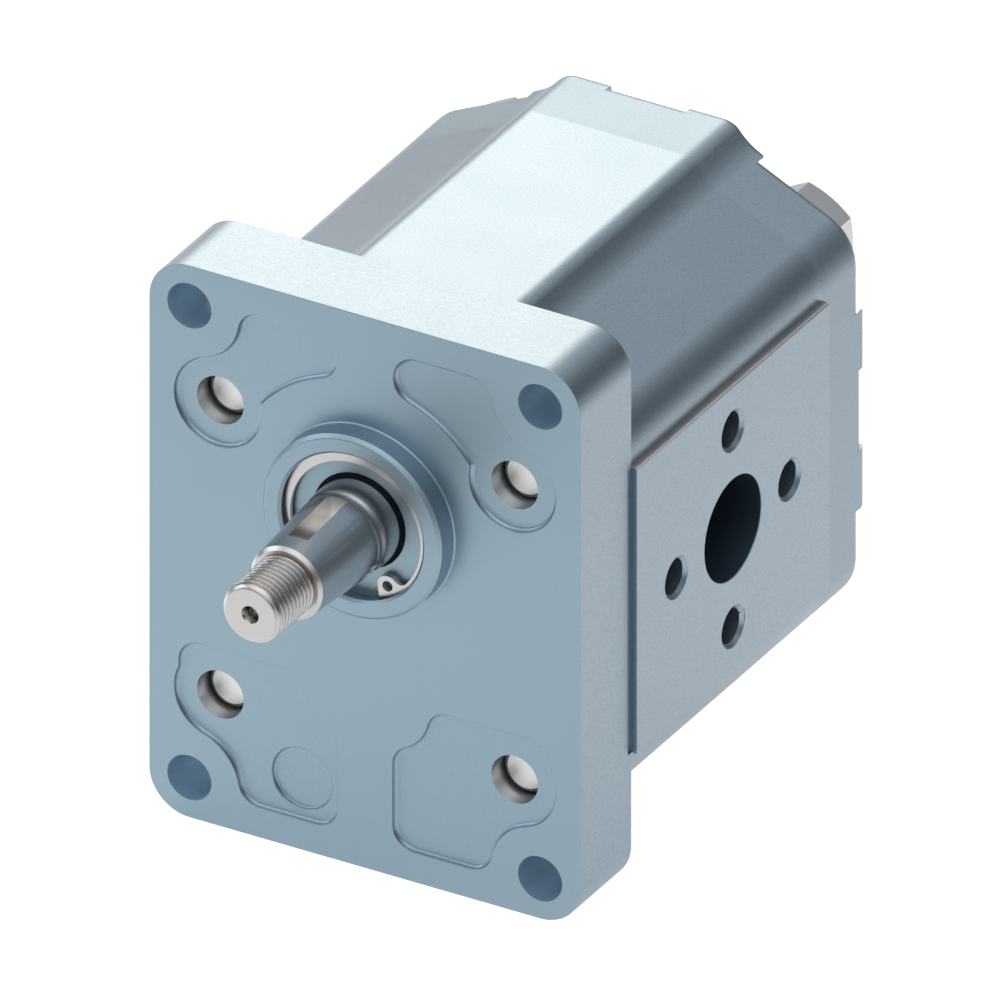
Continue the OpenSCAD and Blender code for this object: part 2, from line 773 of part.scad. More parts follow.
front_flange();
gear_housing();
rear_cover();
drive_gear_shaft();
driven_gear_shaft();
bushing_block(front_gear_face, block_y0);  // front_bushing_block
bushing_block(rear_gear_face, block_y1);  // rear_bushing_block
bearing_liner(block_y0, front_gear_face);  // front_drive_bearing
translate([0, 0, driven_z]) bearing_liner(block_y0, front_gear_face);  // front_driven_bearing
bearing_liner(rear_gear_face, block_y1);  // rear_drive_bearing
translate([0, 0, driven_z]) bearing_liner(rear_gear_face, block_y1);  // rear_driven_bearing
body_seal(body_y0 - body_seal_t);  // front_body_seal
body_seal(body_y1);  // rear_body_seal
thrust_seal(block_y0);  // front_thrust_seal
thrust_backup(block_y0);  // front_thrust_backup
thrust_seal(block_y1 - thrust_seal_t);  // rear_thrust_seal
thrust_backup(block_y1 - thrust_seal_t);  // rear_thrust_backup
shaft_seal_case();
shaft_seal_lip();
shaft_seal_spring();
retaining_ring();
tie_bolts();
dowels(body_y0);  // front_dowels
dowels(body_y1);  // rear_dowels
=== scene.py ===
"""Looks of the hydraulic gear pump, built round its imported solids.

Each visible metal piece starts as a merged copy of its solid, gets the roundings that
casting, machining and forming leave on it, and stands for that solid. The shaft's end
gets its thread here, and the port holes their chamfers. Pieces inside the pump keep
their solids and get their finishes. All lengths below are in millimetres.
"""

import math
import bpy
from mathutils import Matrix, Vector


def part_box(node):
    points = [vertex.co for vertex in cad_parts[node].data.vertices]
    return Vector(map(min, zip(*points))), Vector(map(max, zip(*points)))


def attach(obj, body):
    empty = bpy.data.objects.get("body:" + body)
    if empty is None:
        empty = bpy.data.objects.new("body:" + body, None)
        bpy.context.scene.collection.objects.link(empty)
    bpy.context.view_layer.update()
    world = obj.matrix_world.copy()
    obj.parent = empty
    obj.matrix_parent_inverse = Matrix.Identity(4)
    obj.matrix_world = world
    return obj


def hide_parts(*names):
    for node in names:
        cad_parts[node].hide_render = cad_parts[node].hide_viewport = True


bl_info = {
    "name": "Gear Pump Looks",
    "version": (1, 0, 0),
    "blender": (4, 5, 0),
    "location": "View3D > Sidebar > Gear Pump",
    "description": "Roundings, threads, finishes and studio of a hydraulic gear pump",
    "category": "Object",
}

import bmesh
import bpy
from mathutils import Vector

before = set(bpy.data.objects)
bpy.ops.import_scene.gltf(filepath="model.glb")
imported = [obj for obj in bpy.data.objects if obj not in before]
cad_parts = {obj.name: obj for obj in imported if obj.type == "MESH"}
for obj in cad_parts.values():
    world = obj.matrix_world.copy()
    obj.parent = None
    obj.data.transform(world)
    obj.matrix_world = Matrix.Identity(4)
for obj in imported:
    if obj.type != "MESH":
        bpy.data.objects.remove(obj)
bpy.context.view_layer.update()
MM = 0.001

# Places that the solids also use
FLANGE_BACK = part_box("gear_housing")[0].y / MM
HOUSING_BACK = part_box("gear_housing")[1].y / MM
COVER_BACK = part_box("rear_cover")[1].y / MM
PAD_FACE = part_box("gear_housing")[1].x / MM
PILOT_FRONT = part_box("front_flange")[0].y / MM
SHAFT_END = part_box("drive_gear_shaft")[0].y / MM
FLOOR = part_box("front_flange")[0].z / MM
MIDDLE = (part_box("front_flange")[0].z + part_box("front_flange")[1].z) / 2 / MM
GEAR_MIDDLE = (FLANGE_BACK + HOUSING_BACK) / 2
DRIVEN_AXIS = -31.2
GEAR_MIDDLE_Z = DRIVEN_AXIS / 2
BOLT_OFFSET = 30
PILOT_R = 18.25
CORNER_R = 8.25
HOLE_X, HOLE_Z = 35.75, 48.1
POCKET_FLOOR = 1.0
RECESS_X, RECESS_Z = -13.4, -58
PAD_HALF = 29
PAD_FOOT = 43.47
PORT_R = 10
CHANNEL_DEPTH = 1.3
SEAT_DEPTH = 2.4


# Working on meshes


def activate(obj):
    """Makes obj the only selected and the active object."""
    bpy.ops.object.select_all(action="DESELECT")
    obj.select_set(True)
    bpy.context.view_layer.objects.active = obj


def merged_copy(node, name):
    """A copy of a solid's mesh with its triangles merged into whole faces."""
    obj = bpy.data.objects.new(name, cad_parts[node].data.copy())
    bpy.context.scene.collection.objects.link(obj)
    activate(obj)
    obj.data.materials.clear()
    bpy.ops.mesh.customdata_custom_splitnormals_clear()
    bpy.ops.object.mode_set(mode="EDIT")
    bpy.ops.mesh.select_all(action="SELECT")
    bpy.ops.mesh.remove_doubles(threshold=0.002 * MM)
    bpy.ops.mesh.dissolve_limited(angle_limit=math.radians(0.4))
    bpy.ops.object.mode_set(mode="OBJECT")
    return obj


def place(vertex):
    """A vertex's place in millimetres."""
    return vertex.co / MM


def round_edges(obj, radius, test, segments=3, angle=25, convex=None):
    """Bevels the edges that turn by more than angle and whose ends and middle pass test.
    With convex True or False, only outer or only inner corners are taken."""
    activate(obj)
    bpy.ops.object.mode_set(mode="EDIT")
    bpy.ops.mesh.select_mode(type="EDGE")
    bpy.ops.mesh.select_all(action="DESELECT")
    mesh = bmesh.from_edit_mesh(obj.data)
    limit = math.radians(angle)
    found = 0
    for edge in mesh.edges:
        if len(edge.link_faces) == 2 and edge.calc_face_angle(0) > limit:
            a, b = (place(v) for v in edge.verts)
            if convex in (None, edge.is_convex) and test(a) and test(b) and test((a + b) / 2):
                edge.select = True
                found += 1
    bmesh.update_edit_mesh(obj.data)
    if not found:
        raise RuntimeError(f"{obj.name}: no edge to round by {radius} mm")
    bpy.ops.mesh.bevel(
        offset=radius * MM,
        segments=segments,
        profile=0.5,
        affect="EDGES",
        clamp_overlap=False,
    )
    bpy.ops.object.mode_set(mode="OBJECT")


def smooth(obj, sharp=30):
    """Smooth shading that keeps flat faces flat and corners over sharp degrees sharp."""
    activate(obj)
    bpy.ops.object.shade_smooth_by_angle(angle=math.radians(sharp))
    bpy.ops.object.modifier_add(type="WEIGHTED_NORMAL")
    obj.modifiers[-1].keep_sharp = True
    bpy.ops.object.modifier_apply(modifier=obj.modifiers[-1].name)


def longest_loop(edges):
    """The edges of the longest connected chain among edges."""
    left, best, best_length = set(edges), [], 0
    while left:
        start = left.pop()
        chain, ends = [start], list(start.verts)
        while ends:
            for edge in ends.pop().link_edges:
                if edge in left:
                    left.remove(edge)
                    chain.append(edge)
                    ends.extend(edge.verts)
        length = sum(edge.calc_length() for edge in chain)
        if length > best_length:
            best, best_length = chain, length
    return best


def boolean(obj, other, operation):
    """Applies a boolean with other and removes other."""
    activate(obj)
    bpy.ops.object.modifier_add(type="BOOLEAN")
    modifier = obj.modifiers[-1]
    modifier.operation = operation
    modifier.solver = "EXACT"
    modifier.object = other
    bpy.ops.object.modifier_apply(modifier=modifier.name)
    bpy.data.objects.remove(other)


def cut(obj, other):
    """Takes other out of obj and closes the hairline gaps that are left."""
    boolean(obj, other, "DIFFERENCE")
    bpy.ops.object.mode_set(mode="EDIT")
    bpy.ops.mesh.select_all(action="SELECT")
    bpy.ops.mesh.remove_doubles(threshold=0.003 * MM)
    bpy.ops.object.mode_set(mode="OBJECT")


def block(name, low, high):
    """A box between two corners in millimetres."""
    bpy.ops.object.select_all(action="DESELECT")
    size = Vector(high) - Vector(low)
    bpy.ops.mesh.primitive_cube_add(size=MM, location=(Vector(low) + size / 2) * MM)
    obj = bpy.context.object
    obj.name = obj.data.name = name
    obj.scale = size
    bpy.ops.object.transform_apply(location=True, rotation=False, scale=True)
    return obj


def sketch(name, points, closed):
    """A new object in edit mode that holds a line through points in millimetres."""
    bpy.ops.object.select_all(action="DESELECT")
    bpy.ops.mesh.primitive_plane_add(size=1)
    obj = bpy.context.object
    obj.name = obj.data.name = name
    bpy.ops.object.mode_set(mode="EDIT")
    bpy.ops.mesh.delete(type="VERT")
    mesh = bmesh.from_edit_mesh(obj.data)
    line = [mesh.verts.new(Vector(p) * MM) for p in points]
    for a, b in zip(line, line[1:] + line[:1] if closed else line[1:]):
        mesh.edges.new((a, b))
    bmesh.update_edit_mesh(obj.data)
    bpy.ops.mesh.select_all(action="SELECT")
    return obj


def prism(name, outline, way):
    """A closed piece that moves an outline of points along way, in millimetres."""
    obj = sketch(name, outline, True)
    bpy.ops.mesh.edge_face_add()
    bpy.ops.mesh.extrude_region_move(TRANSFORM_OT_translate={"value": Vector(way) * MM})
    bpy.ops.mesh.select_all(action="SELECT")
    bpy.ops.mesh.normals_make_consistent(inside=False)
    bpy.ops.object.mode_set(mode="OBJECT")
    return obj


def turned_piece(name, profile, steps=96):
    """A closed piece spun round the Y axis from (radius, y) points in millimetres that
    start and end on the axis."""
    obj = sketch(name, [(r, y, 0) for r, y in profile], False)
    bpy.ops.mesh.spin(
        steps=steps, angle=2 * math.pi, center=(0, 0, 0), axis=(0, 1, 0), dupli=False
    )
    bpy.ops.mesh.select_all(action="SELECT")
    bpy.ops.mesh.remove_doubles(threshold=0.002 * MM)
    bpy.ops.mesh.normals_make_consistent(inside=False)
    bpy.ops.object.mode_set(mode="OBJECT")
    return obj


def paint_faces(obj, material, test):
    """Adds a material and gives it to the faces whose middle and normal pass test."""
    obj.data.materials.append(material)
    index = len(obj.data.materials) - 1
    for face in obj.data.polygons:
        if test(face.center / MM, face.normal):
            face.material_index = index


def finish_piece(obj, body, slot, material, *nodes, sharp=30):
    """Gives a finished piece its material and its place on the moving bodies."""
    obj.data.materials.clear()
    obj.data.materials.append(material)
    smooth(obj, sharp)
    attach(obj, body)
    if nodes:
        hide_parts(*nodes)


def bolt_axes():
    """The x and z of the four tie bolts' axes."""
    sides = (-BOLT_OFFSET, BOLT_OFFSET)
    return [(x, MIDDLE + z) for x in sides for z in sides]


def bolt_distance(p):
    """Distance of a point from the nearest tie bolt's axis."""
    return math.hypot(abs(p.x) - BOLT_OFFSET, abs(p.z - MIDDLE) - BOLT_OFFSET)


# Finishes


def new_group(name, inputs, outputs):
    """A shader node group with named sockets, each given as (name, kind, default)."""
    group = bpy.data.node_groups.new(name, "ShaderNodeTree")
    for label, kind, default in inputs:
        socket = group.interface.new_socket(label, in_out="INPUT", socket_type=kind)
        if default is not None:
            socket.default_value = default
    for label, kind in outputs:
        group.interface.new_socket(label, in_out="OUTPUT", socket_type=kind)
    return group, group.nodes.new("NodeGroupInput"), group.nodes.new("NodeGroupOutput")


def noise(tree, vector, scale, detail, roughness=0.5):
    """Noise over a vector, with a fixed or a linked scale."""
    node = tree.nodes.new("ShaderNodeTexNoise")
    node.inputs["Detail"].default_value = detail
    node.inputs["Roughness"].default_value = roughness
    tree.links.new(vector, node.inputs["Vector"])
    if isinstance(scale, (int, float)):
        node.inputs["Scale"].default_value = scale
    else:
        tree.links.new(scale, node.inputs["Scale"])
    return node.outputs["Fac"]


def math_node(tree, operation, *values):
    """A sum on numbers and on outputs of other nodes."""
    node = tree.nodes.new("ShaderNodeMath")
    node.operation = operation
    for socket, value in zip(node.inputs, values):
        if isinstance(value, (int, float)):
            socket.default_value = value
        else:
            tree.links.new(value, socket)
    return node.outputs[0]


def measure(tree, operation, vector, other):
    """Distance or dot product of a vector and a fixed one."""
    node = tree.nodes.new("ShaderNodeVectorMath")
    node.operation = operation
    node.inputs[1].default_value = other
    tree.links.new(vector, node.inputs[0])
    return node.outputs["Value"]


def map_range(tree, value, low, high, start=0.0, end=1.0):
    """Carries the range from low to high over to the range from start to end."""
    node = tree.nodes.new("ShaderNodeMapRange")
    node.inputs["From Min"].default_value = low
    node.inputs["From Max"].default_value = high
    node.inputs["To Min"].default_value = start
    node.inputs["To Max"].default_value = end
    tree.links.new(value, node.inputs["Value"])
    return node.outputs[0]


def colour_ramp(tree, value, stops):
    """Colours by value, with stops as (position, colour) in rising order."""
    ramp = tree.nodes.new("ShaderNodeValToRGB")
    elements = ramp.color_ramp.elements
    while len(elements) < len(stops):
        elements.new(1)
    for element, (position, tint) in zip(elements, stops):
        element.position = position
        element.color = colour(tint)
    tree.links.new(value, ramp.inputs[0])
    return ramp.outputs["Color"]


def grain_group():
    """Blasted or cast metal: fine grain, and slow clouds of colour and gloss."""
    group, given, result = new_group(
        "fine_grain",
        [
            ("Color", "NodeSocketColor", (0.5, 0.5, 0.5, 1)),
            ("Grain per m", "NodeSocketFloat", 3000),
            ("Grain contrast", "NodeSocketFloat", 0.1),
            ("Cloud contrast", "NodeSocketFloat", 0.06),
            ("Roughness", "NodeSocketFloat", 0.4),
            ("Roughness spread", "NodeSocketFloat", 0.08),
        ],
        [
            ("Color", "NodeSocketColor"),
            ("Roughness", "NodeSocketFloat"),
            ("Height", "NodeSocketFloat"),
        ],
    )
    coords = group.nodes.new("ShaderNodeTexCoord").outputs["Object"]
    fine = noise(group, coords, given.outputs["Grain per m"], 2, 0.6)
    cloud = noise(group, coords, 55, 3, 0.55)
    fine_part = math_node(group, "SUBTRACT", fine, 0.5)
    cloud_part = math_node(group, "SUBTRACT", cloud, 0.5)
    fine_share = math_node(group, "MULTIPLY", fine_part, given.outputs["Grain contrast"])
    cloud_share = math_node(group, "MULTIPLY", cloud_part, given.outputs["Cloud contrast"])
    shade = math_node(group, "ADD", fine_share, cloud_share)
    shade = math_node(group, "ADD", shade, 1.0)
    tint = group.nodes.new("ShaderNodeVectorMath")
    tint.operation = "SCALE"
    group.links.new(given.outputs["Color"], tint.inputs[0])
    group.links.new(shade, tint.inputs["Scale"])
    group.links.new(tint.outputs[0], result.inputs["Color"])
    spread = math_node(group, "MULTIPLY", cloud_part, given.outputs["Roughness spread"])
    rough = math_node(group, "ADD", given.outputs["Roughness"], spread)
    group.links.new(rough, result.inputs["Roughness"])
    group.links.new(fine, result.inputs["Height"])
    return group


def turned_group():
    """Turned or ground metal: fine lines round the Y axis, with slow changes of gloss."""
    group, given, result = new_group(
        "turned_lines",
        [
            ("Color", "NodeSocketColor", (0.5, 0.5, 0.5, 1)),
            ("Lines per m", "NodeSocketFloat", 4000),
            ("Line contrast", "NodeSocketFloat", 0.1),
            ("Roughness", "NodeSocketFloat", 0.3),
            ("Roughness spread", "NodeSocketFloat", 0.1),
        ],
        [
            ("Color", "NodeSocketColor"),
            ("Roughness", "NodeSocketFloat"),
            ("Height", "NodeSocketFloat"),
        ],
    )
    coords = group.nodes.new("ShaderNodeTexCoord").outputs["Object"]
    stretch = group.nodes.new("ShaderNodeMapping")
    stretch.inputs["Scale"].default_value = (0.02, 1, 0.02)
    group.links.new(coords, stretch.inputs["Vector"])
    lines = noise(group, stretch.outputs[0], given.outputs["Lines per m"], 2, 0.6)
    cloud = noise(group, coords, 120, 2, 0.5)
    lines_part = math_node(group, "SUBTRACT", lines, 0.5)
    share = math_node(group, "MULTIPLY", lines_part, given.outputs["Line contrast"])
    shade = math_node(group, "ADD", share, 1.0)
    tint = group.nodes.new("ShaderNodeVectorMath")
    tint.operation = "SCALE"
    group.links.new(given.outputs["Color"], tint.inputs[0])
    group.links.new(shade, tint.inputs["Scale"])
    group.links.new(tint.outputs[0], result.inputs["Color"])
    cloud_part = math_node(group, "SUBTRACT", cloud, 0.5)
    mixed = math_node(group, "ADD", cloud_part, lines_part)
    spread = math_node(group, "MULTIPLY", mixed, given.outputs["Roughness spread"])
    rough = math_node(group, "ADD", given.outputs["Roughness"], spread)
    group.links.new(rough, result.inputs["Roughness"])
    group.links.new(lines, result.inputs["Height"])
    return group


def finish(name, group, values, metallic, bump, bump_depth=0.02, ior=1.5):
    """A material that takes colour, roughness and height from one of the groups."""
    material = bpy.data.materials.new(name)
    material.use_nodes = True
    tree = material.node_tree
    shader = tree.nodes["Principled BSDF"]
    shader.inputs["Metallic"].default_value = metallic
    shader.inputs["IOR"].default_value = ior
    source = tree.nodes.new("ShaderNodeGroup")
    source.node_tree = group
    for label, value in values.items():
        source.inputs[label].default_value = value
    tree.links.new(source.outputs["Color"], shader.inputs["Base Color"])
    tree.links.new(source.outputs["Roughness"], shader.inputs["Roughness"])
    relief = tree.nodes.new("ShaderNodeBump")
    relief.inputs["Strength"].default_value = bump
    relief.inputs["Distance"].default_value = bump_depth * MM
    tree.links.new(source.outputs["Height"], relief.inputs["Height"])
    tree.links.new(relief.outputs["Normal"], shader.inputs["Normal"])
    return material


def colour(value):
    """A colour with full alpha."""
    return (value[0], value[1], value[2], 1.0)


_finishes = {}


def material(name):
    """The finish of that name, made when it is first asked for."""
    if name not in _finishes:
        make_finishes()
    return _finishes[name]


def make_finishes():
    """Makes every finish of the pump."""
    grain = grain_group()
    turned = turned_group()
    given = bpy.context.scene.pump_finishes
    cast = colour(given.casting)
    steel = colour(given.shaft_steel)
    bright = colour(given.bright_steel_and_ledge_highlight)
    _finishes.update(
        casting=finish(
            "cast_aluminium",
            grain,
            {
                "Color": cast,
                "Grain per m": 4200,
                "Grain contrast": 0.3,
                "Cloud contrast": 0.05,
                "Roughness": given.casting_roughness,
                "Roughness spread": 0.06,
            },
            1.0,
            0.5,
        ),
        housing=finish(
            "extruded_aluminium",
            grain,
            {
                "Color": cast,
                "Grain per m": 2600,
                "Grain contrast": 0.5,
                "Cloud contrast": 0.04,
                "Roughness": given.casting_roughness,
                "Roughness spread": 0.05,
            },
            1.0,
            0.8,
        ),
        cast_cover=finish(
            "cast_cover_aluminium",
            grain,
            {
                "Color": cast,
                "Grain per m": 2600,
                "Grain contrast": 0.5,
                "Cloud contrast": 0.05,
                "Roughness": given.casting_roughness + 0.055,
                "Roughness spread": 0.06,
            },
            1.0,
            0.8,
        ),
        # Rougher drilled finish in a colour lighter than the casting's: the rough gloss is real,
        # the lighter colour is painted light inside the mounting holes
        hole=finish(
            "drilled_hole_painted_light",
            grain,
            {
                "Color": (0.5, 0.64, 0.75, 1),
                "Grain per m": 2500,
                "Grain contrast": 0.2,
                "Cloud contrast": 0.1,
                "Roughness": 0.6,
                "Roughness spread": 0.1,
            },
            1.0,
            0.3,
        ),
        socket=finish(
            "bored_socket",
            grain,
            {
                "Color": (0.62, 0.65, 0.67, 1),
                "Grain per m": 2500,
                "Grain contrast": 0.1,
                "Cloud contrast": 0.1,
                "Roughness": 0.35,
                "Roughness spread": 0.1,
            },
            1.0,
            0.1,
        ),
        # Near-black colour for the ports' walls: painted shade that stands for the dark inside of
        # the ports
        bore=finish(
            "port_painted_shade",
            grain,
            {
                "Color": (0.065, 0.105, 0.15, 1),
                "Grain per m": 2500,
                "Grain contrast": 0.1,
                "Cloud contrast": 0.1,
                "Roughness": 0.5,
                "Roughness spread": 0.1,
            },
            0.8,
            0.2,
        ),
        bolt=finish(
            "plated_bolt_steel",
            grain,
            {
                "Color": (1.0, 0.95, 0.91, 1),
                "Grain per m": 2500,
                "Grain contrast": 0.03,
                "Cloud contrast": 0.03,
                "Roughness": 0.4,
                "Roughness spread": 0.03,
            },
            0.85,
            0.01,
        ),
        keyway=finish(
            "milled_keyway",
            grain,
            {
                "Color": bright,
                "Grain per m": 2500,
                "Grain contrast": 0.08,
                "Cloud contrast": 0.08,
                "Roughness": 0.24,
                "Roughness spread": 0.05,
            },
            1.0,
            0.02,
        ),
        shaft=finish(
            "ground_steel",
            turned,
            {
                "Color": steel,
                "Lines per m": 6000,
                "Line contrast": 0.12,
                "Roughness": 0.24,
                "Roughness spread": 0.08,
            },
            1.0,
            0.12,
            0.01,
        ),
        # Bright steel; also laid on the housing pads' top ledges as a painted highlight
        bright=finish(
            "bright_steel_and_ledge_highlight",
            grain,
            {
                "Color": bright,
                "Grain per m": 2500,
                "Grain contrast": 0.08,
                "Cloud contrast": 0.08,
                "Roughness": 0.3,
                "Roughness spread": 0.1,
            },
            1.0,
            0.1,
        ),
        thread=finish(
            "cut_thread",
            grain,
            {
                "Color": (0.5, 0.475, 0.455, 1),
                "Grain per m": 2500,
                "Grain contrast": 0.03,
                "Cloud contrast": 0.05,
                "Roughness": 0.22,
                "Roughness spread": 0.03,
            },
            1.0,
            0.01,
        ),
        seal_case=finish(
            "coated_case",
            grain,
            {
                "Color": colour(given.seal_case),
                "Grain per m": 3000,
                "Grain contrast": 0.08,
                "Cloud contrast": 0.05,
                "Roughness": 0.4,
                "Roughness spread": 0.06,
            },
            0.8,
            0.1,
        ),
        rubber=finish(
            "black_rubber",
            grain,
            {
                "Color": (0.004, 0.005, 0.006, 1),
                "Grain per m": 5000,
                "Grain contrast": 0.3,
                "Cloud contrast": 0.2,
                "Roughness": 0.55,
                "Roughness spread": 0.1,
            },
            0.0,
            0.2,
            ior=1.25,
        ),
        backup=finish(
            "white_plastic",
            grain,
            {
                "Color": (0.68, 0.64, 0.54, 1),
                "Grain per m": 2000,
                "Grain contrast": 0.06,
                "Cloud contrast": 0.05,
                "Roughness": 0.5,
                "Roughness spread": 0.1,
            },
            0.0,
            0.1,
        ),
        block=finish(
            "machined_block",
            turned,
            {
                "Color": (0.55, 0.53, 0.47, 1),
                "Lines per m": 3000,
                "Line contrast": 0.12,
                "Roughness": 0.38,
                "Roughness spread": 0.1,
            },
            0.95,
            0.2,
        ),
        # Dark liner of the bearings; also painted on the bolts' tip edges as painted shade
        liner=finish(
            "dark_liner_and_tip_shade",
            turned,
            {
                "Color": (0.22, 0.2, 0.18, 1),
                "Lines per m": 3000,
                "Line contrast": 0.2,
                "Roughness": 0.45,
                "Roughness spread": 0.1,
            },
            0.6,
            0.2,
        ),
    )


# Sizes and colours that a user would change


class PumpSizes(bpy.types.PropertyGroup):
    """Roundings and thread of the pump's visible pieces, in millimetres."""

    flange_edge: bpy.props.FloatProperty(
        name="Flange edge",
        description="Radius on the flange's outer edges in mm",
        default=0.15,
        min=0.05,
        max=1.2,
    )
    pocket_floor: bpy.props.FloatProperty(
        name="Pocket floor",
        description="Radius at the foot of the pockets' walls in mm",
        default=0.8,
        min=0.1,
        max=0.82,
    )
    pocket_rim: bpy.props.FloatProperty(
        name="Pocket rim",
        description="Radius on the pockets' upper edges in mm",
        default=0.16,
        min=0.05,
        max=0.2,
    )
    cover_edge: bpy.props.FloatProperty(
        name="Cover edge",
        description="Radius on the rear cover's outer edge in mm",
        default=1.95,
        min=0.2,
        max=2.2,
    )
    thread_pitch: bpy.props.FloatProperty(
        name="Thread pitch",
        description="Pitch of the thread on the shaft's end in mm",
        default=1.25,
        min=1.0,
        max=1.75,
    )


class PumpFinishes(bpy.types.PropertyGroup):
    """Colours and gloss of the pump's metals."""

    casting: bpy.props.FloatVectorProperty(
        name="Casting",
        description="Colour of the flange, housing and cover",
        default=(0.345, 0.44, 0.51),
        subtype="COLOR",
        min=0,
        max=1,
    )
    casting_roughness: bpy.props.FloatProperty(
        name="Casting roughness",
        description="Roughness of the cast and extruded surfaces",
        default=0.42,
        min=0,
        max=1,
        subtype="FACTOR",
    )
    shaft_steel: bpy.props.FloatVectorProperty(
        name="Shaft steel",
        description="Colour of the ground shaft and gears",
        default=(0.56, 0.555, 0.56),
        subtype="COLOR",
        min=0,
        max=1,
    )
    bright_steel_and_ledge_highlight: bpy.props.FloatVectorProperty(
        name="Bright steel",
        description="Colour of the retaining ring, keyway, stub and dowels",
        default=(0.64, 0.6, 0.575),
        subtype="COLOR",
        min=0,
        max=1,
    )
    seal_case: bpy.props.FloatVectorProperty(
        name="Seal case",
        description="Colour of the shaft seal's steel case",
        default=(0.34, 0.44, 0.51),
        subtype="COLOR",
        min=0,
        max=1,
    )


# Stage


def light(name, place_m, target_m, size, power, tint):
    """A rectangular area light that points at a target."""
    data = bpy.data.lights.new(name, "AREA")
    data.shape = "RECTANGLE"
    data.size, data.size_y = size
    data.energy = power
    data.color = tint
    lamp = bpy.data.objects.new(name, data)
    bpy.context.scene.collection.objects.link(lamp)
    lamp.location = place_m
    lamp.rotation_mode = "QUATERNION"
    way = Vector(target_m) - Vector(place_m)
    lamp.rotation_quaternion = way.to_track_quat("-Z", "Y")


